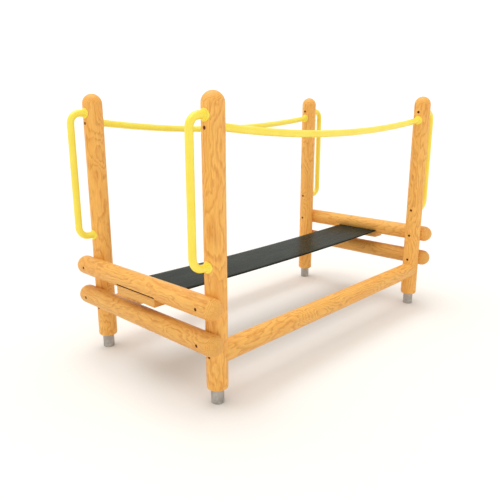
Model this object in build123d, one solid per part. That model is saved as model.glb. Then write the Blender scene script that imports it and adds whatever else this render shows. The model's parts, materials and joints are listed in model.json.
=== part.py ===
"""Playground belt bridge: four round timber posts on steel feet carry a rubber walking belt.

Frame: +X runs along the walkway from end a to end b, +Y is the left side of someone who walks
that way, +Z is up. The origin is on the ground under the middle of the bridge. Millimetres.
"""

import os
from math import asin, degrees, hypot, radians, tan

from build123d import *

# --- posts -----------------------------------------------------------------------------------
post_pitch_x = 2180.0  # post axis to post axis along the walkway
post_pitch_y = 1080.0  # post axis to post axis across it
post_diameter = 120.0
post_top = 1655.0  # height of the domed top
post_bottom = 85.0  # height of the post's lower end, held clear of wet ground
post_foot_rounding = 16.0

# --- cross beams and side rails --------------------------------------------------------------
beam_diameter = 120.0
beam_overhang = 115.0  # beam end past the post axis
saddle_depth = 33.0  # how far post and beam reach into each other
upper_beam_height = 580.0
beam_spacing = 200.0  # upper beam's axis above the lower beam's
side_rail_diameter = 120.0
side_rail_drop = 94.0  # side rail's axis below the lower beam's
saddle_gap = 0.3  # running gap wherever one piece is hollowed to fit round timber

# --- ground feet -----------------------------------------------------------------------------
foot_diameter = 73.0
foot_wall = 4.0
foot_plate = 8.0  # welded top plate, inside the tube's outline
spigot_diameter = 30.0
spigot_length = 150.0
spigot_gap = 0.2

# --- handles and handrails -------------------------------------------------------------------
tube_diameter = 42.4
tube_wall = 3.2
handle_drop = 115.0  # handle's upper leg below the post's top
handle_lift = 145.0  # handle's lower leg above the upper beam
handle_reach = 95.0  # tube axis from the post's surface
handle_bend = 62.0
handrail_drop = 175.0  # handrail's ends below the post's top
handrail_sag = 62.0
flange_rim = 10.8  # flange past the tube all round
flange_thickness = 5.0  # of the plate, which is bent to the post
flange_edge = 2.5
weld_gap = 0.2  # between the flange and the tube's coped end
boss_gap = 4.0  # boss inside the tube, with room for the handrail's slope
boss_length = 20.0

# --- belt and its clamps ---------------------------------------------------------------------
belt_width = 365.0
belt_thickness = 10.0
belt_sag = 15.0  # unloaded
belt_turn = 9.0  # degrees that the belt turns down at each clamp under a walker
spans_per_half = 4  # rigid slabs from a clamp to mid-span
bend_clearance = 0.2  # left between two slabs when the belt is bent furthest
slip_length = 30.0  # stretch of belt that slides in the clamp at end b
slip_gap = 1.0
slip_face_gap = 0.2
notch_depth = 35.0  # belt seat above the upper beam's underside
notch_side_gap = 2.0
batten_width = 100.0
batten_thickness = 52.0
batten_edge = 3.0
belt_end_inset = 3.0  # belt's end in from the batten's outer edge
belt_relief = 3.0  # first bend of the belt from the batten's edge

# --- fasteners -------------------------------------------------------------------------------
bolt_diameter = 12.0
bolt_gap = 0.5
bolt_head_diameter = 18.0
bolt_head_height = 12.0
hex_socket = 8.0  # across flats
socket_depth = 6.0
recess_diameter = 20.0
recess_depth = 22.0
nut_thickness = 12.0
thread_gap = 0.1
cap_thickness = 4.0
cap_inset = 2.5
cap_gap = 0.1
rail_screw_grip = 110.0  # thread in the side rail's end
lag_diameter = 10.0
lag_hex = 17.0
lag_head_height = 7.0
lag_bite = 50.0  # thread in the beam above the belt
lags_per_batten = 4
lag_margin = 45.0  # outer screw from the batten's end
washer_diameter = 28.0
washer_thickness = 3.0

# --- derived ---------------------------------------------------------------------------------
post_radius = post_diameter / 2
beam_radius = beam_diameter / 2
beam_offset = post_radius + beam_radius - saddle_depth  # beam axis outside the post axis
lower_beam_height = upper_beam_height - beam_spacing
side_rail_height = lower_beam_height - side_rail_drop
handle_top = post_top - handle_drop
handle_bottom = upper_beam_height + beam_radius + handle_lift
handrail_height = post_top - handrail_drop
flange_diameter = tube_diameter + 2 * flange_rim
boss_diameter = tube_diameter - 2 * tube_wall - 2 * boss_gap
beam_length = post_pitch_y + 2 * beam_overhang
belt_top = upper_beam_height - beam_radius + notch_depth
belt_middle = belt_top - belt_thickness / 2
belt_bottom = belt_top - belt_thickness
beam_x = post_pitch_x / 2 + beam_offset
pivot_x = beam_x - batten_width / 2 - belt_relief
belt_end_x = beam_x + batten_width / 2 - belt_end_inset
slip_x = pivot_x + slip_length
flange_face = post_radius + flange_thickness
post_seat = post_radius - recess_depth  # bolt seat from the post axis
beam_seat = beam_offset + beam_radius - recess_depth

ENDS = {"a": -1, "b": 1}
SIDES = {"left": 1, "right": -1}


# --- helpers ---------------------------------------------------------------------------------
def rod_x(x_from, x_to, z, diameter, y=0.0):
    """Round bar along X."""
    length = abs(x_to - x_from)
    return Pos((x_from + x_to) / 2, y, z) * Rot(0, 90, 0) * Cylinder(diameter / 2, length)


def rod_z(z_from, z_to, x, y, diameter):
    """Round bar along Z."""
    return Pos(x, y, (z_from + z_to) / 2) * Cylinder(diameter / 2, abs(z_to - z_from))


def at_end(shape, end):
    """Puts a shape modelled at end b, where outward is +X, at either end of the bridge."""
    return shape if end == "b" else shape.mirror(Plane.YZ)


def at_corner(shape, end, side):
    """Puts a shape modelled round a post axis, with outward along +X, at one corner."""
    moved = Pos(post_pitch_x / 2, 0, 0) * shape
    return Pos(0, SIDES[side] * post_pitch_y / 2, 0) * at_end(moved, end)


def corners(shape):
    """The four copies of a corner piece."""
    return [at_corner(shape, end, side) for end in ENDS for side in SIDES]


def save(name, *solids):
    """Writes one node; several solids stay separate pieces of it."""
    shape = solids[0] if len(solids) == 1 else Compound(children=list(solids))
    export_step(shape, f"parts/{name}.step")


# --- timber ----------------------------------------------------------------------------------
def domed_log(length, diameter):
    """Round timber along Y, centred, with a ball end at each end."""
    radius = diameter / 2
    shoulder = length / 2 - radius
    with BuildPart() as turned:
        with BuildSketch(Plane.XY):
            with BuildLine():
                CenterArc((0, shoulder), radius, 0, 90)
                Line((0, shoulder + radius), (0, -shoulder - radius))
                CenterArc((0, -shoulder), radius, 270, 90)
                Line((radius, -shoulder), (radius, shoulder))
            make_face()
        revolve(axis=Axis.Y)
    return turned.part


def post():
    """Post with a domed top, a rounded foot and the bores for every bolt that crosses it."""
    shoulder = post_top - post_radius
    foot_radius = post_radius - post_foot_rounding
    with BuildPart() as turned:
        with BuildSketch(Plane.XZ):
            with BuildLine():
                Line((0, post_bottom), (foot_radius, post_bottom))
                CenterArc((foot_radius, post_bottom + post_foot_rounding), post_foot_rounding, 270, 90)
                Line((post_radius, post_bottom + post_foot_rounding), (post_radius, shoulder))
                CenterArc((0, shoulder), post_radius, 0, 90)
                Line((0, post_top), (0, post_bottom))
            make_face()
        revolve(axis=Axis.Z)
    body = turned.part
    bore = bolt_diameter + 2 * bolt_gap
    reach = post_radius + 1
    nuts_inside = (upper_beam_height, lower_beam_height, handle_top, handle_bottom)
    heads_outside = (handrail_height, side_rail_height)
    for height in nuts_inside + heads_outside:
        body -= rod_x(-reach, reach, height, bore)
    for height in nuts_inside:
        body -= rod_x(-reach, -post_seat, height, recess_diameter)
    for height in heads_outside:
        body -= rod_x(post_seat, reach, height, recess_diameter)
    socket = spigot_diameter + 2 * spigot_gap
    body -= rod_z(post_bottom - 1, post_bottom + spigot_length + 2, 0, 0, socket)
    return body


def cross_beam(height, carries_belt):
    """Domed beam at end b, hollowed to sit on both posts; the upper one is notched for the belt."""
    body = Pos(beam_x, 0, height) * domed_log(beam_length, beam_diameter)
    bore = bolt_diameter + 2 * bolt_gap
    outer = beam_offset + beam_radius + 1
    for sign in SIDES.values():
        post_axis = Pos(post_pitch_x / 2, sign * post_pitch_y / 2, 0)
        hollow = rod_z(height - beam_diameter, height + beam_diameter, 0, 0, post_diameter + 2 * saddle_gap)
        body -= post_axis * hollow
        body -= post_axis * rod_x(0, outer, height, bore)
        body -= post_axis * rod_x(beam_seat, outer, height, recess_diameter)
    if carries_belt:
        notch_width = belt_width + 2 * notch_side_gap
        body -= Pos(beam_x, 0, belt_top - beam_radius) * Box(beam_diameter + 2, notch_width, beam_diameter)
        for y in lag_positions():
            body -= rod_z(belt_top - 1, belt_top + lag_bite + 2, beam_x, y, lag_diameter + 2 * thread_gap)
    return body


def side_rail():
    """Rail between two posts, fish-mouthed to fit them, with a pilot bore in each end."""
    body = rod_x(-post_pitch_x / 2, post_pitch_x / 2, side_rail_height, side_rail_diameter)
    low = side_rail_height - side_rail_diameter
    high = side_rail_height + side_rail_diameter
    tip = post_pitch_x / 2 - post_radius - rail_screw_grip - 2
    pilot = bolt_diameter + 2 * thread_gap
    for sign in ENDS.values():
        body -= rod_z(low, high, sign * post_pitch_x / 2, 0, post_diameter + 2 * saddle_gap)
        body -= rod_x(sign * tip, sign * post_pitch_x / 2, side_rail_height, pilot)
    return body


def batten():
    """Clamping plank under the belt at end b."""
    body = Box(batten_width, belt_width, batten_thickness)
    body = fillet(body.edges().filter_by(Axis.Y), batten_edge)
    body = Pos(beam_x, 0, belt_bottom - batten_thickness / 2) * body
    for y in lag_positions():
        low = belt_bottom - batten_thickness - 1
        body -= rod_z(low, belt_bottom + 1, beam_x, y, lag_diameter + 2 * bolt_gap)
    return body


# --- steel -----------------------------------------------------------------------------------
def foot():
    """Galvanised ground tube with a welded top plate and a spigot that enters the post."""
    body = rod_z(0, post_bottom, 0, 0, foot_diameter)
    body -= rod_z(-1, post_bottom - foot_plate, 0, 0, foot_diameter - 2 * foot_wall)
    body += rod_z(post_bottom - foot_plate / 2, post_bottom + spigot_length, 0, 0, spigot_diameter)
    return body


def round_post(radius):
    """Tall cylinder on the post's axis, with its seam turned away from the flanges."""
    return Rot(0, 0, 90) * Cylinder(radius, 4 * post_top)


def flange(height):
    """Round flange bent to the outer face of a post, with a threaded boss in front."""
    body = rod_x(0, flange_face + 1, height, flange_diameter)
    body &= round_post(flange_face)
    body -= round_post(post_radius + saddle_gap)
    front = body.faces().sort_by(Axis.X)[-1]
    body = fillet(front.edges(), flange_edge)
    boss_start = flange_face - flange_thickness / 2
    body += rod_x(boss_start, flange_face + boss_length, height, boss_diameter)
    body -= rod_x(0, flange_face + boss_length - 4, height, bolt_diameter + 2 * thread_gap)
    return body


def tube_section(plane):
    """Ring of the handle tube on a plane."""
    outer = Circle(tube_diameter / 2)
    return plane * (outer - Circle(tube_diameter / 2 - tube_wall))


def grab_handle():
    """Upright grab bar outside a post, from the upper flange round two bends to the lower one."""
    reach = post_radius + handle_reach
    path = FilletPolyline(
        (post_radius, 0, handle_top),
        (reach, 0, handle_top),
        (reach, 0, handle_bottom),
        (post_radius, 0, handle_bottom),
        radius=handle_bend,
    )
    start = Plane(origin=(post_radius, 0, handle_top), z_dir=(1, 0, 0))
    return sweep(tube_section(start), path=path) - round_post(flange_face + weld_gap)


def handrail():
    """Tube that hangs in a shallow arc between two posts and is coped to the flanges."""
    half = post_pitch_x / 2 - flange_face
    radius = (half**2 + handrail_sag**2) / (2 * handrail_sag)
    centre_height = handrail_height - handrail_sag + radius
    overshoot = 2.0  # degrees past each flange, trimmed below
    sweep_angle = degrees(asin(half / radius)) + overshoot
    plane = Plane(origin=(0, 0, centre_height), x_dir=(1, 0, 0), z_dir=(0, -1, 0))
    path = plane * CenterArc((0, 0), radius, 270 - sweep_angle, 2 * sweep_angle)
    start = Plane(origin=path @ 0, z_dir=path % 0)
    tube = sweep(tube_section(start), path=path)
    for sign in ENDS.values():
        tube -= Pos(sign * post_pitch_x / 2, 0, 0) * round_post(flange_face + weld_gap)
    return tube & Pos(0, 0, handrail_height) * Box(post_pitch_x, 2 * tube_diameter, 6 * handrail_sag)


# --- belt ------------------------------------------------------------------------------------
def belt_nodes():
    """Points of the unloaded belt's middle surface, from the pivot at end a to that at end b."""
    count = 2 * spans_per_half
    points = []
    for i in range(count + 1):
        x = -pivot_x + 2 * pivot_x * i / count
        points.append((x, belt_middle - belt_sag * (1 - (x / pivot_x) ** 2)))
    return points


def span_tilt(index):
    """Degrees that an unloaded slab slopes down towards +X."""
    points = belt_nodes()
    (x1, z1), (x2, z2) = points[index], points[index + 1]
    return -degrees(asin((z2 - z1) / hypot(x2 - x1, z2 - z1)))


def joint_gap(turn):
    """Space between two slabs that still clear each other when they meet at this angle."""
    return belt_thickness * tan(radians(turn / 2)) + bend_clearance


def clamp_joint_gap():
    """Gap between a clamped end of the belt and the slab next to it."""
    return joint_gap(belt_turn + span_tilt(0))


def span_joint_gap():
    """Gap between two slabs of the walkway; the belt's turn is shared out over all of them."""
    joints = 2 * spans_per_half - 1
    return joint_gap(2 * belt_turn / joints + span_tilt(0) - span_tilt(1))


def belt_span(index):
    """One slab of the belt, lying along the chord between two of its points."""
    points = belt_nodes()
    (x1, z1), (x2, z2) = points[index], points[index + 1]
    chord = hypot(x2 - x1, z2 - z1)
    first_gap = clamp_joint_gap() if index == 0 else span_joint_gap()
    last_gap = clamp_joint_gap() if index == len(points) - 2 else span_joint_gap()
    length = chord - first_gap / 2 - last_gap / 2
    slab = Pos((first_gap - last_gap) / 4, 0, 0) * Box(length, belt_width, belt_thickness)
    return Pos((x1 + x2) / 2, 0, (z1 + z2) / 2) * Rot(0, span_tilt(index), 0) * slab


def belt_end(inner):
    """Clamped end of the belt at end b, outward from a given X, between beam and batten."""
    length = belt_end_x - inner
    body = Pos((belt_end_x + inner) / 2, 0, belt_middle) * Box(length, belt_width, belt_thickness)
    for y in lag_positions():
        body -= rod_z(belt_bottom - 1, belt_top + 1, beam_x, y, lag_diameter + 2 * bolt_gap)
    return body


def belt_slip():
    """Stretch of belt that slides in the clamp at end b as the walkway dips."""
    inner = pivot_x + clamp_joint_gap() / 2
    outer = slip_x - slip_gap
    thickness = belt_thickness - 2 * slip_face_gap
    return Pos((inner + outer) / 2, 0, belt_middle) * Box(outer - inner, belt_width, thickness)


# --- fasteners -------------------------------------------------------------------------------
def lag_positions():
    """Y of the screws that clamp one end of the belt."""
    span = belt_width - 2 * lag_margin
    return [-span / 2 + span * i / (lags_per_batten - 1) for i in range(lags_per_batten)]


def socket_bolt(seat, tip, height):
    """Bolt along X with its head on the seat, away from the tip, and a hexagon socket."""
    away = 1 if seat > tip else -1
    crown = seat + away * bolt_head_height
    body = rod_x(seat, tip, height, bolt_diameter)
    body += rod_x(seat, crown, height, bolt_head_diameter)
    hexagon = extrude(RegularPolygon(hex_socket / 2, 6, major_radius=False), socket_depth)
    return body - Pos(crown, 0, height) * Rot(0, -90 * away, 0) * hexagon


def barrel_nut(height):
    """Round nut in the recess on a post's inner face."""
    body = rod_x(-post_seat - nut_thickness, -post_seat, height, bolt_head_diameter)
    return body - rod_x(-post_radius, 0, height, bolt_diameter + 2 * thread_gap)


def cap(surface, height):
    """Cover pressed into a recess, just below the timber's surface."""
    inward = -1 if surface > 0 else 1
    outer = surface + inward * cap_inset
    return rod_x(outer, outer + inward * cap_thickness, height, recess_diameter - 2 * cap_gap)


def lag_screw(y):
    """Hexagon-head wood screw up through batten and belt into the beam."""
    seat = belt_bottom - batten_thickness - washer_thickness
    body = rod_z(seat, belt_top + lag_bite, beam_x, y, lag_diameter)
    head = extrude(RegularPolygon(lag_hex / 2, 6, major_radius=False), lag_head_height)
    return body + Pos(beam_x, y, seat - lag_head_height) * head


def lag_washer(y):
    """Washer between screw head and batten."""
    seat = belt_bottom - batten_thickness
    body = rod_z(seat - washer_thickness, seat, beam_x, y, washer_diameter)
    return body - rod_z(seat - washer_thickness - 1, seat + 1, beam_x, y, lag_diameter + 2 * bolt_gap)


def pair_at_end(shapes, end):
    """Corner pieces on both sides of one end."""
    return [at_corner(shape, end, side) for shape in shapes for side in SIDES]


# --- nodes -----------------------------------------------------------------------------------
def save_frame():
    """Posts, feet, beams, rails."""
    for end in ENDS:
        for side in SIDES:
            save(f"post_{end}_{side}", at_corner(post(), end, side))
            save(f"foot_{end}_{side}", at_corner(foot(), end, side))
        save(f"upper_beam_{end}", at_end(cross_beam(upper_beam_height, True), end))
        save(f"lower_beam_{end}", at_end(cross_beam(lower_beam_height, False), end))
    for side, sign in SIDES.items():
        save(f"side_rail_{side}", Pos(0, sign * post_pitch_y / 2, 0) * side_rail())


def save_handles():
    """Grab handles outside the posts and handrails between them, with their flanges."""
    for end in ENDS:
        for side in SIDES:
            save(f"grab_handle_{end}_{side}", at_corner(grab_handle(), end, side))
        flanges = [flange(handle_top), flange(handle_bottom)]
        save(f"handle_flanges_{end}", *pair_at_end(flanges, end))
    for side, sign in SIDES.items():
        save(f"handrail_{side}", Pos(0, sign * post_pitch_y / 2, 0) * handrail())
    save("handrail_flanges", *corners(flange(handrail_height).mirror(Plane.YZ)))


def save_belt():
    """Belt slabs from end a to end b, clamped ends, battens and their screws."""
    for index in range(2 * spans_per_half):
        save(f"belt_span_{index + 1}", belt_span(index))
    save("belt_slip_b", belt_slip())
    save("belt_end_a", at_end(belt_end(pivot_x + clamp_joint_gap() / 2), "a"))
    save("belt_end_b", belt_end(slip_x))
    for end in ENDS:
        save(f"clamp_batten_{end}", at_end(batten(), end))
        save(f"batten_screws_{end}", *[at_end(lag_screw(y), end) for y in lag_positions()])
        save(f"batten_washers_{end}", *[at_end(lag_washer(y), end) for y in lag_positions()])


def save_bolts():
    """Through bolts, nuts, rail screws and the caps over them."""
    beam_heights = (upper_beam_height, lower_beam_height)
    handle_heights = (handle_top, handle_bottom)
    nut_end = -post_seat - nut_thickness + 2
    flange_thread = flange_face + boss_length - 6
    beam_bolts = [socket_bolt(beam_seat, nut_end, z) for z in beam_heights]
    nuts = [barrel_nut(z) for z in beam_heights]
    handle_bolts = [socket_bolt(-post_seat, flange_thread, z) for z in handle_heights]
    beam_caps = [cap(beam_offset + beam_radius, z) for z in beam_heights]
    inner_caps = [cap(-post_radius, z) for z in beam_heights + handle_heights]
    outer_caps = [cap(post_radius, z) for z in (handrail_height, side_rail_height)]
    for end in ENDS:
        save(f"beam_bolts_{end}", *pair_at_end(beam_bolts, end))
        save(f"beam_nuts_{end}", *pair_at_end(nuts, end))
        save(f"handle_bolts_{end}", *pair_at_end(handle_bolts, end))
        save(f"outer_bolt_caps_{end}", *pair_at_end(beam_caps + outer_caps, end))
        save(f"inner_bolt_caps_{end}", *pair_at_end(inner_caps, end))
    save("handrail_bolts", *corners(socket_bolt(post_seat, -flange_thread, handrail_height)))
    screw_tip = -post_radius - rail_screw_grip
    save("side_rail_screws", *corners(socket_bolt(post_seat, screw_tip, side_rail_height)))


def main():
    os.makedirs("parts", exist_ok=True)
    save_frame()
    save_handles()
    save_belt()
    save_bolts()


main()
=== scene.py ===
"""Looks of the playground belt bridge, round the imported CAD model. Metres, in the model's own frame."""

import json
from math import cos, hypot, pi, radians, sin, sqrt, tau

import bpy
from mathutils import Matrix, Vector


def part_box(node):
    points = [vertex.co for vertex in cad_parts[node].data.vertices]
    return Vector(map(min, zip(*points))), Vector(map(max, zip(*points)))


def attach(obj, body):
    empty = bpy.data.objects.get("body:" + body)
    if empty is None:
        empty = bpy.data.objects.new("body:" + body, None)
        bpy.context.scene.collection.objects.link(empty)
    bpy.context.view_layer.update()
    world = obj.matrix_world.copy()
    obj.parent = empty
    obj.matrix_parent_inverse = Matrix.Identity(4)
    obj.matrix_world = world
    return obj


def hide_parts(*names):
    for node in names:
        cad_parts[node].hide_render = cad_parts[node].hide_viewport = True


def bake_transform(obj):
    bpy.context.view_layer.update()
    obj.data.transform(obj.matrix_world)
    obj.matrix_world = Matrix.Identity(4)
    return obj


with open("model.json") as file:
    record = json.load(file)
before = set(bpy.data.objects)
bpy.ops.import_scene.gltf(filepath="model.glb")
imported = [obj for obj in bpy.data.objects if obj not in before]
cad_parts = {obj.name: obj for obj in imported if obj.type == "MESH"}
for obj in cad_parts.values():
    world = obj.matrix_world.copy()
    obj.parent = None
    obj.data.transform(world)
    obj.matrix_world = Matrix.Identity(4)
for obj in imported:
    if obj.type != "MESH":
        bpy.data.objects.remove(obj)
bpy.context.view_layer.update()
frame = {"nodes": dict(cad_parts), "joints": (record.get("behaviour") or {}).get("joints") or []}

scene = bpy.context.scene
scene.view_settings.view_transform = "Standard"

X, Y, Z = 0, 1, 2
ENDS = {"a": -1, "b": 1}
SIDES = ("left", "right")


# --- sizes read from the frame -----------------------------------------------------------------
def extent(node, axis):
    """Size of a CAD node along one axis."""
    low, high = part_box(node)
    return high[axis] - low[axis]


def middle(box):
    return (box[0] + box[1]) / 2


TUBE_RADIUS = extent("grab_handle_a_left", Y) / 2
POST_RADIUS = extent("post_a_left", X) / 2
FLANGE_RADIUS = extent("handrail_flanges", Z) / 2
BELT_THICKNESS = extent("belt_end_a", Z)
BELT_WIDTH = extent("belt_end_a", Y)
BELT_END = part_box("belt_end_b")[1].x

PIVOTS = [Vector(joint["pos_m"]) for joint in frame["joints"]]
SPANS = len(PIVOTS) - 1
CLAMP_PIVOT = PIVOTS[-1].x
BELT_MIDDLE = PIVOTS[0].z
BELT_SAG = BELT_MIDDLE - min(pivot.z for pivot in PIVOTS)


# --- camera ------------------------------------------------------------------------------------
SENSOR_WIDTH = 36.0
LENS = 39.05
CAMERA_PLACE = (-2.929, -2.515, 1.571)
CAMERA_DIP = 14.68
CAMERA_HEADING = 43.26


def make_camera():
    """Camera off end a on the right-hand side, a little below the post tops, looking across the bridge."""
    data = bpy.data.cameras.new("camera")
    data.sensor_width = SENSOR_WIDTH
    data.lens = LENS
    camera = bpy.data.objects.new("camera", data)
    scene.collection.objects.link(camera)
    camera.location = CAMERA_PLACE
    camera.rotation_euler = (radians(90 - CAMERA_DIP), 0, radians(CAMERA_HEADING - 90))
    scene.camera = camera


# --- shader helpers ----------------------------------------------------------------------------
def linear(red, green, blue):
    """Scene-linear colour of an 8-bit display colour, by the sRGB curve."""
    def channel(value):
        value /= 255
        return value / 12.92 if value <= 0.04045 else ((value + 0.055) / 1.055) ** 2.4
    return (channel(red), channel(green), channel(blue), 1.0)


def grey(value):
    return (value, value, value, 1.0)


class Shader:
    """Adds nodes to a node tree. An input is a value or the output socket that feeds it."""

    def __init__(self, tree):
        self.tree = tree

    def feed(self, socket, value):
        """Links an output socket to an input, or gives the input a value."""
        if isinstance(value, bpy.types.NodeSocket):
            self.tree.links.new(value, socket)
        else:
            socket.default_value = value

    def add(self, kind, inputs=None, **settings):
        node = self.tree.nodes.new(kind)
        for name, value in settings.items():
            setattr(node, name, value)
        for key, value in (inputs or {}).items():
            self.feed(node.inputs[key], value)
        return node

    def place(self):
        """Position in metres in the model's own frame."""
        return self.add("ShaderNodeTexCoord").outputs["Object"]

    def math(self, operation, first, second=0.0, third=0.0):
        inputs = {0: first, 1: second, 2: third}
        return self.add("ShaderNodeMath", inputs, operation=operation).outputs[0]

    def product(self, first, second):
        return self.math("MULTIPLY", first, second)

    def vector(self, operation, first, second=(0, 0, 0)):
        node = self.add("ShaderNodeVectorMath", {0: first, 1: second}, operation=operation)
        return node.outputs["Value" if operation == "LENGTH" else "Vector"]

    def scaled(self, vector, factors):
        return self.vector("MULTIPLY", vector, factors)

    def combined(self, inputs):
        return self.add("ShaderNodeCombineXYZ", inputs).outputs[0]

    def noise(self, vector, scale=1.0, detail=2.0, roughness=0.5, output="Fac"):
        inputs = {"Vector": vector, "Scale": scale, "Detail": detail, "Roughness": roughness}
        return self.add("ShaderNodeTexNoise", inputs).outputs[output]

    def offset_noise(self, vector, detail):
        """Colour noise about zero, for pushing positions aside."""
        return self.vector("SUBTRACT", self.noise(vector, detail=detail, output="Color"), (0.5, 0.5, 0.5))

    def wave(self, coordinate, pitch):
        return self.math("SINE", self.product(coordinate, tau / pitch))

    def ramp(self, value, stops):
        """Colour ramp; stops are (position, colour)."""
        node = self.add("ShaderNodeValToRGB", {"Fac": value})
        elements = node.color_ramp.elements
        while len(elements) < len(stops):
            elements.new(0.5)
        for element, (position, colour) in zip(elements, stops):
            element.position = position
            element.color = colour
        return node.outputs["Color"]

    def between(self, value, low, high, to_low=0.0, to_high=1.0):
        """Maps a value smoothly from one range to another."""
        inputs = {"Value": value, "From Min": low, "From Max": high, "To Min": to_low, "To Max": to_high}
        return self.add("ShaderNodeMapRange", inputs, interpolation_type="SMOOTHSTEP").outputs[0]

    def mix(self, factor, first, second, blend="MIX"):
        node = self.add("ShaderNodeMix", data_type="RGBA", blend_type=blend)
        colour_inputs = [socket for socket in node.inputs if socket.type == "RGBA"]
        for socket, value in zip([node.inputs[0]] + colour_inputs, (factor, first, second)):
            self.feed(socket, value)
        return [socket for socket in node.outputs if socket.type == "RGBA"][0]

    def bump(self, height, distance, strength):
        inputs = {"Height": height, "Distance": distance, "Strength": strength}
        return self.add("ShaderNodeBump", inputs).outputs[0]


def principled(name, build):
    """Material whose Principled inputs are what build(shader) returns."""
    material = bpy.data.materials.new(name)
    material.use_nodes = True
    shader = Shader(material.node_tree)
    surface = material.node_tree.nodes["Principled BSDF"]
    for key, value in build(shader).items():
        shader.feed(surface.inputs[key], value)
    return material


# --- wood --------------------------------------------------------------------------------------
EARLY_WOOD = linear(247, 190, 98)
LATE_WOOD = linear(210, 135, 55)
HEART_WOOD = linear(238, 166, 76)
KNOT_WOOD = linear(158, 88, 38)
# painted light and shade, one factor per kind of log: beams, battens and rails darkened (the lower beam
# more, as it lies under the upper beam), posts lightened
PAINTED_SHADING_BY_LOG = {"post": 1.03, "upper_beam": 0.94, "lower_beam": 0.89, "side_rail": 0.96, "clamp_batten": 0.87}

# features per metre: along the log, then in both directions across it
PITH_SCALE = (1.6, 0.2, 0.2)
KNOT_SCALE = (2.6, 7.5, 7.5)
RIPPLE_SCALE = (7.5, 26, 26)
FIBRE_SCALE = (22, 620, 620)
STREAK_SCALE = (4.0, 85, 85)
CLOUD_SCALE = (2.2, 14, 14)

# distances across the log
PITH_STRAY = (0, 0.1, 0.1)
RIPPLE_DEPTH = (0, 0.015, 0.015)
RING_WIDTH = 0.0046
RING_SWELL_AT_KNOT = 0.012

# how uneven the rings are, in rings, and how often that changes per metre of radius
RING_UNEVENNESS = 1.6
RING_CHANGES = 70.0

# share of late wood through one year's ring
YEAR = ((0.0, 0.05), (0.45, 0.22), (0.82, 0.95), (0.93, 0.6), (1.0, 0.05))

# distances from a knot's middle, as shares of the knots' spacing, and the share of spots without one
KNOT_REACH = (0.38, 0.05)
KNOT_CORE = (0.09, 0.05)
KNOTLESS_SHARE = 0.6

# a seed moves the pattern by this much along the log and across it
SEED_SHIFT = (3.1, 2.3, 0)
SEED_SPREAD = 1.7


def pine_group():
    """Node group: grain of a log, scaled by a painted light and shade factor for its kind of log. Its vector
    runs along the log in X and across it in Y and Z.
    """
    tree = bpy.data.node_groups.new("pine grain", "ShaderNodeTree")
    for name, kind, way in (
        ("Vector", "NodeSocketVector", "INPUT"),
        ("Seed", "NodeSocketFloat", "INPUT"),
        ("Tone", "NodeSocketFloat", "INPUT"),
        ("Color", "NodeSocketColor", "OUTPUT"),
        ("Height", "NodeSocketFloat", "OUTPUT"),
        ("Roughness", "NodeSocketFloat", "OUTPUT"),
    ):
        tree.interface.new_socket(name=name, in_out=way, socket_type=kind)
    s = Shader(tree)
    given = s.add("NodeGroupInput").outputs
    log, seed = given["Vector"], given["Seed"]
    shift = s.combined({0: seed, 1: s.product(seed, SEED_SPREAD)})
    place = s.vector("ADD", log, s.scaled(shift, SEED_SHIFT))

    # the pith wanders through the log, and knots push the rings aside
    pith = s.scaled(s.offset_noise(s.scaled(place, PITH_SCALE), detail=1.5), PITH_STRAY)
    knots = s.add("ShaderNodeTexVoronoi", {"Vector": s.scaled(place, KNOT_SCALE), "Scale": 1.0}).outputs
    chosen = s.add("ShaderNodeSeparateColor", {0: knots["Color"]}).outputs[0]
    has_knot = s.math("GREATER_THAN", chosen, KNOTLESS_SHARE)
    near_knot = s.product(s.between(knots["Distance"], *KNOT_REACH), has_knot)
    core = s.product(s.between(knots["Distance"], *KNOT_CORE), has_knot)

    ripple = s.scaled(s.offset_noise(s.scaled(place, RIPPLE_SCALE), detail=3.0), RIPPLE_DEPTH)
    across = s.vector("ADD", s.scaled(log, (0, 1, 1)), s.vector("ADD", pith, ripple))
    radius = s.math("ADD", s.vector("LENGTH", across), s.product(near_knot, RING_SWELL_AT_KNOT))
    uneven = s.noise(s.combined({0: s.product(radius, RING_CHANGES), 1: seed}))
    rings = s.math("ADD", s.math("DIVIDE", radius, RING_WIDTH), s.product(uneven, RING_UNEVENNESS))
    late = s.ramp(s.math("FRACT", rings), [(time, grey(share)) for time, share in YEAR])

    fibre = s.noise(s.scaled(place, FIBRE_SCALE), detail=3.0, roughness=0.6)
    streak = s.noise(s.scaled(place, STREAK_SCALE), detail=3.0)
    cloud = s.noise(s.scaled(place, CLOUD_SCALE), detail=3.0)
    late_share = s.product(late, s.between(streak, 0.3, 0.7, 0.35, 1.0))
    colour = s.mix(late_share, EARLY_WOOD, LATE_WOOD)
    colour = s.mix(s.between(cloud, 0.42, 0.7, 0.0, 0.45), colour, HEART_WOOD)
    colour = s.mix(s.between(streak, 0.5, 0.75, 0.0, 0.4), colour, HEART_WOOD)
    colour = s.mix(s.product(near_knot, 0.3), colour, LATE_WOOD)
    colour = s.mix(core, colour, KNOT_WOOD)
    # fibre shading, multiplied by the log's painted light and shade factor
    shade = s.product(s.between(fibre, 0.3, 0.7, 0.87, 1.08), given["Tone"])
    shade = s.add("ShaderNodeCombineColor", {0: shade, 1: shade, 2: shade}).outputs[0]
    colour = s.mix(1.0, colour, shade, "MULTIPLY")
    height = s.math("ADD", s.product(late_share, 0.5), s.product(fibre, 0.7))
    rough = s.between(late_share, 0.0, 1.0, 0.5, 0.38)
    s.add("NodeGroupOutput", {"Color": colour, "Height": height, "Roughness": rough})
    return tree


PINE = pine_group()


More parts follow.
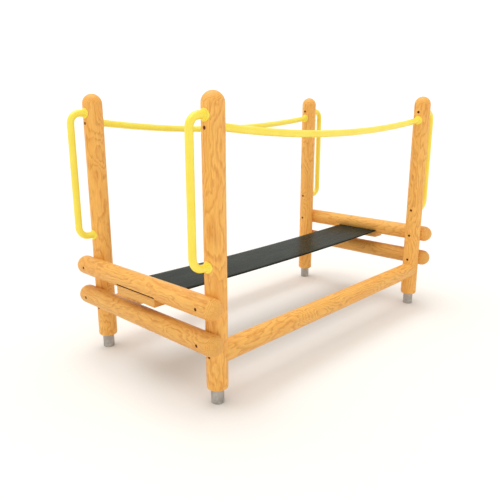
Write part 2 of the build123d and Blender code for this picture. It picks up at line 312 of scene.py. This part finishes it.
def pine(node, centre, along, seed):
    """Oiled pine for a log whose axis passes through centre and lies along X, Y or Z."""
    order = {X: (X, Y, Z), Y: (Y, Z, X), Z: (Z, X, Y)}[along]
    # painted light and shade factor for this kind of log
    painted_shading = next(value for kind, value in PAINTED_SHADING_BY_LOG.items() if node.startswith(kind))

    def build(s):
        local = s.vector("SUBTRACT", s.place(), centre)
        split = s.add("ShaderNodeSeparateXYZ", {0: local}).outputs
        log = s.combined({i: split[axis] for i, axis in enumerate(order)})
        grain = s.add("ShaderNodeGroup", {"Vector": log, "Seed": seed, "Tone": painted_shading}, node_tree=PINE).outputs
        return {
            "Base Color": grain["Color"],
            "Roughness": grain["Roughness"],
            "Normal": s.bump(grain["Height"], distance=0.0004, strength=0.5),
            "Specular IOR Level": 0.35,
        }

    return principled(f"pine {node}", build)


# --- other materials ---------------------------------------------------------------------------
YELLOWS = (linear(250, 232, 82), linear(248, 225, 68))
ZINCS = (linear(176, 176, 172), linear(146, 142, 132))
CAP_BROWNS = (linear(112, 52, 20), linear(90, 40, 16))
FLOOR_GREYS = (linear(239, 239, 239), linear(236, 236, 236))
SPANGLES = (linear(166, 163, 158), linear(192, 188, 182))
DULL_SPANGLE = linear(154, 150, 143)
SPANGLE_WARP = (0.01, 0.01, 0.01)

RUBBERS = (linear(30, 37, 32), linear(40, 47, 41))
SCUFFED_RUBBER = linear(72, 76, 68)
PLY_RUBBER = linear(20, 20, 18)
# painted shade for the belt's ends, in the shaded slot between beam and batten
SHADED_END_RUBBER = linear(9, 9, 8)
WEAVE_PITCH = 0.0032
PLY_PITCH = 0.0024
EDGE_BAND = (0.001, 0.0003)
# how far in from each belt end the painted shade reaches
END_SHADE_BAND = (0.002, 0.001)
DUST_SCALE = (3.0, 9.0, 9.0)
SCUFF_SCALE = (5.0, 60.0, 20.0)


def yellow_coat():
    """Gloss powder coat with a faint orange peel."""
    def build(s):
        place = s.place()
        cloud = s.noise(place, scale=9.0, detail=3.0)
        peel = s.noise(place, scale=420.0)
        return {
            "Base Color": s.mix(s.between(cloud, 0.3, 0.7), *YELLOWS),
            "Roughness": s.between(cloud, 0.3, 0.7, 0.32, 0.4),
            "Normal": s.bump(peel, distance=0.0002, strength=0.25),
            "Coat Weight": 0.3,
            "Coat Roughness": 0.12,
        }
    return principled("yellow powder coat", build)


def belt_rubber():
    """Belt rubber: woven imprint, fabric plies at its side edges, dusty wear, and painted shade on its ends,
    which sit in the shaded slot between beam and batten.
    """
    def near_edge(s, coordinate, size, band):
        return s.between(s.math("ABSOLUTE", coordinate), size - band[0], size - band[1])

    def build(s):
        rest = s.add("ShaderNodeAttribute", attribute_name="belt_place").outputs["Vector"]
        x, y, z = s.add("ShaderNodeSeparateXYZ", {0: rest}).outputs
        weave = s.product(s.wave(x, WEAVE_PITCH), s.wave(y, WEAVE_PITCH))
        grain = s.noise(rest, scale=700.0, detail=3.0)
        dust = s.noise(s.scaled(rest, DUST_SCALE), detail=4.0, roughness=0.6)
        scuff = s.noise(s.scaled(rest, SCUFF_SCALE), detail=4.0, roughness=0.65)
        plies = s.wave(z, PLY_PITCH)
        edge = near_edge(s, y, BELT_WIDTH / 2, EDGE_BAND)
        # painted shade: the last millimetres of each belt end are darkened
        painted_end_shade = near_edge(s, x, BELT_END, END_SHADE_BAND)
        colour = s.mix(s.between(dust, 0.35, 0.75), *RUBBERS)
        colour = s.mix(s.between(scuff, 0.55, 0.8, 0.0, 0.3), colour, SCUFFED_RUBBER)
        colour = s.mix(s.product(edge, s.between(plies, 0.2, 0.9, 0.3, 0.8)), colour, PLY_RUBBER)
        colour = s.mix(painted_end_shade, colour, SHADED_END_RUBBER)
        height = s.math("ADD", s.product(weave, 0.3), s.product(grain, 0.5))
        height = s.math("ADD", height, s.product(s.product(plies, edge), 0.8))
        return {
            "Base Color": colour,
            "Roughness": s.between(scuff, 0.3, 0.8, 0.24, 0.34),
            "Normal": s.bump(height, distance=0.0001, strength=0.4),
            "IOR": 1.2,
            "Specular IOR Level": 0.14,
        }
    return principled("belt rubber", build)


def galvanised():
    """Dull hot-dip galvanised steel with spangle."""
    def build(s):
        place = s.place()
        warp = s.scaled(s.noise(place, scale=40.0, output="Color"), SPANGLE_WARP)
        cells = {"Vector": s.vector("ADD", place, warp), "Scale": 70.0}
        spangle = s.add("ShaderNodeTexVoronoi", cells).outputs["Color"]
        flake = s.add("ShaderNodeSeparateColor", {0: spangle}).outputs[0]
        cloud = s.noise(place, scale=14.0, detail=3.0)
        colour = s.mix(flake, *SPANGLES)
        colour = s.mix(s.between(cloud, 0.4, 0.7, 0.0, 0.5), colour, DULL_SPANGLE)
        return {
            "Base Color": colour,
            "Metallic": 0.55,
            "Roughness": s.between(flake, 0.0, 1.0, 0.42, 0.58),
            "Normal": s.bump(cloud, distance=0.0006, strength=0.4),
        }
    return principled("galvanised steel", build)


def zinc_steel():
    """Zinc-plated fastener steel, faintly turned."""
    def build(s):
        place = s.place()
        stain = s.noise(place, scale=120.0, detail=3.0)
        fine = s.noise(place, scale=1500.0)
        return {
            "Base Color": s.mix(s.between(stain, 0.35, 0.7), *ZINCS),
            "Metallic": 1.0,
            "Roughness": s.between(stain, 0.3, 0.7, 0.3, 0.45),
            "Normal": s.bump(fine, distance=0.00005, strength=0.5),
        }
    return principled("zinc plated steel", build)


def cap_plastic():
    """Dark moulded plastic."""
    def build(s):
        place = s.place()
        cloud = s.noise(place, scale=200.0)
        spark = s.noise(place, scale=2500.0, detail=1.0)
        return {
            "Base Color": s.mix(cloud, *CAP_BROWNS),
            "Roughness": s.between(cloud, 0.3, 0.7, 0.5, 0.65),
            "Normal": s.bump(spark, distance=0.0001, strength=0.4),
            "Specular IOR Level": 0.2,
        }
    return principled("cap plastic", build)


def floor_paper():
    """Pale studio floor."""
    def build(s):
        return {
            "Base Color": s.mix(s.noise(s.place(), scale=0.6), *FLOOR_GREYS),
            "Roughness": 0.9,
            "Specular IOR Level": 0.1,
        }
    return principled("pale floor", build)


YELLOW = yellow_coat()
RUBBER = belt_rubber()
GALVANISED = galvanised()
ZINC = zinc_steel()
CAP = cap_plastic()


# --- mesh helpers ------------------------------------------------------------------------------
SHARP_ANGLE = 35
BELT_SHARP_ANGLE = 50
WELD_DECIMALS = 4


def piece(name, solids, material, body="frame", replaces=(), sharp=SHARP_ANGLE):
    mesh = bpy.data.meshes.new(name)
    mesh.from_pydata(solids.vertices, [], solids.faces)
    mesh.validate()
    mesh.polygons.foreach_set("use_smooth", [True] * len(mesh.polygons))
    mesh.set_sharp_from_angle(angle=radians(sharp))
    mesh.materials.append(material)
    obj = bpy.data.objects.new(name, mesh)
    scene.collection.objects.link(obj)
    if body:
        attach(obj, body)
    if replaces:
        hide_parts(*replaces)
    return obj


class Solids:
    """Collects vertices and faces of one or more closed shapes."""

    def __init__(self):
        self.vertices = []
        self.faces = []

    def rings(self, rings, wrap=False):
        """Joins rings of equally many points. Wrap joins the last to the first, or else both are capped."""
        start = len(self.vertices)
        count = len(rings[0])
        for ring in rings:
            self.vertices.extend(tuple(point) for point in ring)
        pairs = len(rings) if wrap else len(rings) - 1
        for i in range(pairs):
            low = start + i * count
            high = start + (i + 1) % len(rings) * count
            for j in range(count):
                k = (j + 1) % count
                self.faces.append((low + j, low + k, high + k, high + j))
        if not wrap:
            last = start + (len(rings) - 1) * count
            self.faces.append(tuple(reversed(range(start, start + count))))
            self.faces.append(tuple(range(last, last + count)))


def circle(segments, turn=1):
    """Angles once round a circle; turn is -1 for the other way."""
    return [tau * j / segments * turn for j in range(segments)]


def quarter(steps):
    """Angles from 0 to a right angle, both included."""
    return [pi / 2 * i / steps for i in range(steps + 1)]


def parts_of(node):
    """Boxes of a CAD node's separate solids, as (low, high), found by welding its mesh."""
    mesh = frame["nodes"][node].data
    parent = {}

    def root(key):
        while parent[key] != key:
            parent[key] = parent[parent[key]]
            key = parent[key]
        return key

    keys = [tuple(round(c, WELD_DECIMALS) for c in v.co) for v in mesh.vertices]
    for key in keys:
        parent.setdefault(key, key)
    for edge in mesh.edges:
        one, other = (root(keys[i]) for i in edge.vertices)
        parent[one] = other
    groups = {}
    for key in parent:
        groups.setdefault(root(key), []).append(key)
    boxes = []
    for points in groups.values():
        low = Vector([min(p[i] for p in points) for i in (X, Y, Z)])
        high = Vector([max(p[i] for p in points) for i in (X, Y, Z)])
        boxes.append((low, high))
    return sorted(boxes, key=lambda box: tuple(box[0]))


# --- wood pieces -------------------------------------------------------------------------------
LOG_SEED, LOG_SEED_STEP = 1.0, 2.37
PLANK_SEED, PLANK_SEED_STEP = 40.0, 3.1
HEART_FROM_PLANK = Vector((0.03, 0, 0.05))
PLANK_EDGE = 0.003
PLANK_CORNER = 1.5 * PLANK_EDGE
PLANK_EDGE_STEPS = 4


def paint(node, material):
    """Puts a material on every slot of a CAD node."""
    for slot in frame["nodes"][node].material_slots:
        slot.material = material


def dress_timber():
    """Gives each log its own pine."""
    logs = [(f"post_{end}_{side}", Z) for end in ENDS for side in SIDES]
    logs += [(f"{level}_beam_{end}", Y) for level in ("upper", "lower") for end in ENDS]
    logs += [(f"side_rail_{side}", X) for side in SIDES]
    for index, (node, along) in enumerate(logs):
        paint(node, pine(node, middle(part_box(node)), along, LOG_SEED + LOG_SEED_STEP * index))


def eased_plank(low, high):
    """A box with every edge rounded, as stacked outlines with rounded corners."""
    slopes = quarter(PLANK_EDGE_STEPS)
    levels = [(low.z + PLANK_EDGE - PLANK_EDGE * sin(slope), slope) for slope in reversed(slopes)]
    levels += [(high.z - PLANK_EDGE + PLANK_EDGE * sin(slope), slope) for slope in slopes]
    rings = []
    for z, slope in levels:
        ring = []
        reach = PLANK_CORNER - PLANK_EDGE * (1 - cos(slope))
        for sx, sy, first in ((1, 1, 0), (-1, 1, 1), (-1, -1, 2), (1, -1, 3)):
            x = (high.x if sx > 0 else low.x) - sx * PLANK_CORNER
            y = (high.y if sy > 0 else low.y) - sy * PLANK_CORNER
            for step in slopes:
                angle = pi / 2 * first + step
                ring.append((x + reach * cos(angle), y + reach * sin(angle), z))
        rings.append(ring)
    solids = Solids()
    solids.rings(rings)
    return solids


def make_battens():
    """Planed clamping planks with eased edges."""
    for index, end in enumerate(ENDS):
        node = f"clamp_batten_{end}"
        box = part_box(node)
        material = pine(node, middle(box) + HEART_FROM_PLANK, Y, PLANK_SEED + PLANK_SEED_STEP * index)
        piece(f"planed_batten_{end}", eased_plank(*box), material, replaces=[node])


# --- tubes and flanges -------------------------------------------------------------------------
TUBE_SEGMENTS = 48
TUBE_STEP = 0.04
HANDLE_BEND = 0.062
BEND_STEPS = 20
HANDRAIL_STEPS = 60

SEAT_GAP = 0.0003
FLANGE_THICKNESS = 0.005
FLANGE_EDGE = 0.0025
FLANGE_BACK_EDGE = 0.0006
FLANGE_BORE = TUBE_RADIUS * 0.6
FLANGE_SEGMENTS = 120
FLANGE_STEPS = 5

WELD = 0.003
WELD_MARGIN = 0.001
WELD_RIPPLE = 0.0003
WELD_RIPPLES = 30


def tube_rings(path, y):
    """Rings of a tube round a path of (x, z) points in the plane of a given y."""
    rings = []
    for i, (x, z) in enumerate(path):
        x0, z0 = path[max(i - 1, 0)]
        x1, z1 = path[min(i + 1, len(path) - 1)]
        length = hypot(x1 - x0, z1 - z0)
        nx, nz = -(z1 - z0) / length, (x1 - x0) / length
        ring = []
        for angle in circle(TUBE_SEGMENTS):
            across = TUBE_RADIUS * cos(angle)
            ring.append((x + nx * across, y + TUBE_RADIUS * sin(angle), z + nz * across))
        rings.append(ring)
    return rings


def straight(start, stop):
    """Points from start to stop, without the last."""
    run, rise = stop[0] - start[0], stop[1] - start[1]
    count = max(1, round(hypot(run, rise) / TUBE_STEP))
    return [(start[0] + run * i / count, start[1] + rise * i / count) for i in range(count)]


def handle_path(face, reach, top, bottom):
    """Centre line of a grab handle in X and Z, from the upper flange to the lower."""
    outward = 1 if reach > face else -1
    inner = reach - outward * HANDLE_BEND
    bend = []
    for angle in quarter(BEND_STEPS):
        bend.append((inner + outward * HANDLE_BEND * cos(angle), HANDLE_BEND * (1 - sin(angle))))
    points = straight((face, top), (inner, top))
    points += [(x, top - drop) for x, drop in reversed(bend)]
    points += straight((reach, top - HANDLE_BEND), (reach, bottom + HANDLE_BEND))[1:]
    points += [(x, bottom + drop) for x, drop in bend]
    points += straight((inner, bottom), (face, bottom))[1:]
    points.append((face, bottom))
    return points


def make_handles():
    """Bent grab handles outside the posts."""
    for end, outward in ENDS.items():
        for side in SIDES:
            node = f"grab_handle_{end}_{side}"
            low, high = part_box(node)
            face = middle(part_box(f"post_{end}_{side}")).x + outward * (POST_RADIUS + SEAT_GAP)
            reach = (high.x if outward > 0 else low.x) - outward * TUBE_RADIUS
            path = handle_path(face, reach, high.z - TUBE_RADIUS, low.z + TUBE_RADIUS)
            solids = Solids()
            solids.rings(tube_rings(path, (low.y + high.y) / 2))
            piece(f"bent_handle_{end}_{side}", solids, YELLOW, replaces=[node])


def make_handrails():
    """Handrails that hang in one long arc between flanges."""
    for side in SIDES:
        node = f"handrail_{side}"
        low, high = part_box(node)
        ends = middle(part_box("handrail_flanges")).z
        post_face = middle(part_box(f"post_b_{side}")).x - POST_RADIUS
        half = post_face - FLANGE_THICKNESS
        sag = ends - (low.z + TUBE_RADIUS)
        radius = (half**2 + sag**2) / (2 * sag)
        path = []
        for i in range(HANDRAIL_STEPS + 1):
            x = -half + 2 * half * i / HANDRAIL_STEPS
            path.append((x, ends - sag + radius - sqrt(radius**2 - x**2)))
        rings = tube_rings(path, (low.y + high.y) / 2)
        for i, x in ((0, SEAT_GAP - post_face), (-1, post_face - SEAT_GAP)):
            rings[i] = [(x, y, z) for _, y, z in rings[i]]
        solids = Solids()
        solids.rings(rings)
        piece(f"arched_handrail_{side}", solids, YELLOW, replaces=[node])


def flange_profile():
    """Height above the post and radius, from the bore out along the back and in over the front."""
    face = FLANGE_THICKNESS
    profile = [
        (SEAT_GAP, FLANGE_BORE),
        (SEAT_GAP, FLANGE_RADIUS * 0.8),
        (SEAT_GAP, FLANGE_RADIUS - FLANGE_BACK_EDGE),
        (SEAT_GAP + FLANGE_BACK_EDGE, FLANGE_RADIUS),
    ]
    for angle in quarter(FLANGE_STEPS):
        lift = face - FLANGE_EDGE * (1 - sin(angle))
        profile.append((lift, FLANGE_RADIUS - FLANGE_EDGE * (1 - cos(angle))))
    profile.append((face, TUBE_RADIUS + WELD + WELD_MARGIN))
    for angle in quarter(FLANGE_STEPS):
        profile.append((face + WELD * (1 - cos(angle)), TUBE_RADIUS + WELD * (1 - sin(angle))))
    profile.append((face + WELD, FLANGE_BORE))
    return profile


def add_flange(solids, post, outward, z):
    """Plate bent to the post, with a rippled weld bead round the tube."""
    rings = []
    for lift, radius in flange_profile():
        ring = []
        on_weld = FLANGE_THICKNESS < lift < FLANGE_THICKNESS + WELD
        for angle in circle(FLANGE_SEGMENTS, outward):
            across = radius * cos(angle)
            depth = sqrt(POST_RADIUS**2 - across**2) + lift
            if on_weld:
                depth += WELD_RIPPLE * sin(WELD_RIPPLES * angle)
            ring.append((post.x + outward * depth, post.y + across, z + radius * sin(angle)))
        rings.append(ring)
    solids.rings(rings)


def make_flanges():
    """Welded flanges of the handles and handrails."""
    handrail_height = middle(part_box("handrail_flanges")).z
    inner = Solids()
    for end, outward in ENDS.items():
        outer = Solids()
        for side in SIDES:
            post = middle(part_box(f"post_{end}_{side}"))
            low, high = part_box(f"grab_handle_{end}_{side}")
            for z in (high.z - TUBE_RADIUS, low.z + TUBE_RADIUS):
                add_flange(outer, post, outward, z)
            add_flange(inner, post, -outward, handrail_height)
        node = f"handle_flanges_{end}"
        piece(f"welded_flanges_{end}", outer, YELLOW, replaces=[node])
    piece("welded_flanges_handrails", inner, YELLOW, replaces=["handrail_flanges"])


# --- fasteners ---------------------------------------------------------------------------------
# shares of the cap's depth and radius: rim, dish, and boss in the middle
CAP_PROFILE = (
    (0, 0.2), (0, 0.9), (0.2, 1), (0.8, 1), (0.95, 0.96), (1, 0.88),
    (0.95, 0.8), (0.7, 0.72), (0.65, 0.4), (0.75, 0.3), (0.95, 0.26), (1, 0.2),
)
CAP_SEGMENTS = 32
TURNED_SEGMENTS = 48

SHANK_RADIUS = 0.005
SCREW_POINT = 0.008
POINT_SHARE = 0.15
CROWN_RISE = 0.0012
CHAMFER_RISE = 0.0022
FLATS_TO_SEAT = 0.0003
WASHER_BORE_GAP = 0.0005
WASHER_STEPS = 8


def make_caps():
    """Moulded caps in the bolt recesses."""
    for place in ("outer", "inner"):
        for end in ENDS:
            node = f"{place}_bolt_caps_{end}"
            post_x = middle(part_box(f"post_{end}_left")).x
            solids = Solids()
            for low, high in parts_of(node):
                add_cap(solids, low, high, 1 if middle((low, high)).x > post_x else -1)
            piece(f"moulded_{place}_caps_{end}", solids, CAP, replaces=[node])


def add_cap(solids, low, high, outward):
    """One cap turned about X, with its back toward the post's middle."""
    back = low.x if outward > 0 else high.x
    depth = high.x - low.x
    radius = (high.z - low.z) / 2
    y, z = (low.y + high.y) / 2, (low.z + high.z) / 2
    rings = []
    for forward, share in CAP_PROFILE:
        ring = []
        for angle in circle(CAP_SEGMENTS, outward):
            across, up = radius * share * cos(angle), radius * share * sin(angle)
            ring.append((back + outward * depth * forward, y + across, z + up))
        rings.append(ring)
    solids.rings(rings)


def hexagon_at(angle, across_flats):
    """Distance from a hexagon's centre to its edge in a direction."""
    sector = (angle + pi / 6) % (pi / 3) - pi / 6
    return across_flats / 2 / cos(sector)


def turned_about_z(centre, levels):
    """Rings about Z; a level is a height and a function from the direction to the radius."""
    rings = []
    for z, reach in levels:
        ring = []
        for angle in circle(TURNED_SEGMENTS):
            radius = reach(angle)
            ring.append((centre.x + radius * cos(angle), centre.y + radius * sin(angle), z))
        rings.append(ring)
    return rings


def add_hex_screw(solids, head, top, seat):
    """One screw, head down: crown, chamfer, flats, shank and point."""
    low, high = head
    flats = min(high.x - low.x, high.y - low.y)

    def hexagon(angle):
        return hexagon_at(angle, flats)

    levels = [
        (low.z, lambda angle: flats * 0.3),
        (low.z, lambda angle: flats * 0.47),
        (low.z + CROWN_RISE, lambda angle: min(hexagon(angle), flats * 0.53)),
        (low.z + CHAMFER_RISE, hexagon),
        (seat - FLATS_TO_SEAT, hexagon),
        (seat, lambda angle: flats * 0.49),
        (seat, lambda angle: SHANK_RADIUS),
        (top - SCREW_POINT, lambda angle: SHANK_RADIUS),
        (top, lambda angle: SHANK_RADIUS * POINT_SHARE),
    ]
    solids.rings(turned_about_z(middle(head), levels))


def add_washer(solids, box, centre):
    """One washer with a rounded rim."""
    low, high = box
    round_radius = (high.z - low.z) / 2
    rim = (high.x - low.x) / 2 - round_radius
    bore = SHANK_RADIUS + WASHER_BORE_GAP
    profile = [(low.z, bore)]
    for i in range(WASHER_STEPS + 1):
        angle = pi * i / WASHER_STEPS
        profile.append((low.z + round_radius * (1 - cos(angle)), rim + round_radius * sin(angle)))
    profile.append((high.z, bore))
    levels = [(z, lambda angle, radius=radius: radius) for z, radius in profile]
    solids.rings(turned_about_z(centre, levels), wrap=True)


def make_batten_screws():
    """Hexagon-headed screws and their washers under the battens."""
    for end in ENDS:
        screws, washers = Solids(), Solids()
        screw_node, washer_node = f"batten_screws_{end}", f"batten_washers_{end}"
        for screw, washer in zip(parts_of(screw_node), parts_of(washer_node)):
            add_hex_screw(screws, screw, top=screw[1].z, seat=washer[0].z)
            add_washer(washers, washer, middle(screw))
        piece(f"hex_screws_{end}", screws, ZINC, replaces=[screw_node])
        piece(f"round_washers_{end}", washers, ZINC, replaces=[washer_node])


# --- belt --------------------------------------------------------------------------------------
BELT_EDGE = 0.0015
BELT_EDGE_STEPS = 3
BELT_ROWS = 16
BELT_STEP = 0.01
BELT_LEAST_STEPS = 4
SQUEEZE = 0.0003
SQUEEZE_RUN = 0.012
SLIP_FACE_GAP = 0.0005


def belt_height(x):
    """Middle of the unloaded belt: a shallow arc between the clamps, level inside them."""
    if abs(x) >= CLAMP_PIVOT:
        return BELT_MIDDLE
    return BELT_MIDDLE - BELT_SAG * (1 - (x / CLAMP_PIVOT) ** 2)


def belt_outline(squeeze):
    """Cross-section of the belt as (y, height above its middle), squeezed by the clamp or not."""
    half = BELT_WIDTH / 2
    thick = BELT_THICKNESS / 2 - squeeze
    corner = quarter(BELT_EDGE_STEPS)[:-1]
    outline = []
    for sign in (1, -1):
        for i in range(BELT_ROWS):
            outline.append((sign * (half - BELT_EDGE) * (2 * i / BELT_ROWS - 1), -sign * thick))
        for angle in corner:
            y = half - BELT_EDGE * (1 - sin(angle))
            outline.append((sign * y, -sign * (thick - BELT_EDGE * (1 - cos(angle)))))
        for angle in corner:
            y = half - BELT_EDGE * (1 - cos(angle))
            outline.append((sign * y, sign * (thick - BELT_EDGE + BELT_EDGE * sin(angle))))
    return outline


def belt_piece(name, start, stop, nodes, body=None):
    """A stretch of belt from one X to another."""
    count = max(BELT_LEAST_STEPS, round((stop - start) / BELT_STEP))
    rings, places = [], []
    for i in range(count + 1):
        x = start + (stop - start) * i / count
        inside = min(max((abs(x) - CLAMP_PIVOT + SQUEEZE_RUN) / SQUEEZE_RUN, 0), 1)
        ring = []
        for y, rise in belt_outline(SQUEEZE * inside):
            ring.append((x, y, belt_height(x) + rise))
            places.append((x, y, rise))
        rings.append(ring)
    solids = Solids()
    solids.rings(rings)
    obj = piece(name, solids, RUBBER, body, nodes, BELT_SHARP_ANGLE)
    rest = obj.data.attributes.new("belt_place", "FLOAT_VECTOR", "POINT")
    rest.data.foreach_set("vector", [coordinate for place in places for coordinate in place])
    return obj


def make_belt():
    """One belt in stretches that meet at mid-slab, each with a joint in its middle, shaped to the belt's
    unloaded arc.
    """
    spans = [f"belt_span_{i + 1}" for i in range(SPANS)]
    slip_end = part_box("belt_slip_b")[1].x
    mids = [(PIVOTS[i].x + PIVOTS[i + 1].x) / 2 for i in range(SPANS)]
    edges = [-BELT_END] + mids + [slip_end]
    nodes = [["belt_end_a"]] + [[span] for span in spans]
    nodes[-1].append("belt_slip_b")
    for i in range(SPANS + 1):
        obj = belt_piece(f"belt_stretch_{i + 1}", edges[i], edges[i + 1], nodes[i])
        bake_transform(obj)
    belt_piece("belt_clamped_end_b", slip_end + SLIP_FACE_GAP, BELT_END, ["belt_end_b"], "frame")


# --- stage -------------------------------------------------------------------------------------
FLOOR_HALF = 60.0
SKY_AT_HORIZON = (1.15, 1.15, 1.15, 1.0)
SKY_ABOVE = (0.74, 0.695, 0.625, 1.0)
SKY_CHANGE = (0.12, 0.4)
SUN_ENERGY = 1.78
SUN_ANGLE = 58
SUN_FROM = Vector((-0.05, 0.2, 1.0))


def make_stage():
    """Pale floor, white surroundings that dim upwards, and a broad soft light overhead."""
    mesh = bpy.data.meshes.new("floor")
    corners = [(x * FLOOR_HALF, y * FLOOR_HALF, 0) for x, y in ((-1, -1), (1, -1), (1, 1), (-1, 1))]
    mesh.from_pydata(corners, [], [(0, 1, 2, 3)])
    mesh.materials.append(floor_paper())
    floor = bpy.data.objects.new("floor", mesh)
    scene.collection.objects.link(floor)

    world = bpy.data.worlds.new("studio")
    world.use_nodes = True
    s = Shader(world.node_tree)
    direction = s.add("ShaderNodeTexCoord").outputs["Generated"]
    height = s.add("ShaderNodeSeparateXYZ", {0: direction}).outputs[2]
    background = world.node_tree.nodes["Background"]
    s.feed(background.inputs["Color"], s.mix(s.between(height, *SKY_CHANGE), SKY_AT_HORIZON, SKY_ABOVE))
    s.feed(background.inputs["Strength"], 1.0)
    scene.world = world

    data = bpy.data.lights.new("overhead", "SUN")
    data.energy = SUN_ENERGY
    data.angle = radians(SUN_ANGLE)
    light = bpy.data.objects.new("overhead", data)
    scene.collection.objects.link(light)
    light.rotation_euler = SUN_FROM.to_track_quat("Z", "Y").to_euler()


# --- build -------------------------------------------------------------------------------------
def dress_steel():
    """Materials of the CAD pieces that keep their own shape."""
    for end in ENDS:
        for side in SIDES:
            paint(f"foot_{end}_{side}", GALVANISED)
        for kind in ("beam_bolts", "beam_nuts", "handle_bolts"):
            paint(f"{kind}_{end}", ZINC)
    paint("handrail_bolts", ZINC)
    paint("side_rail_screws", ZINC)


make_camera()
make_stage()
dress_timber()
dress_steel()
make_battens()
make_handles()
make_handrails()
make_flanges()
make_caps()
make_batten_screws()
make_belt()
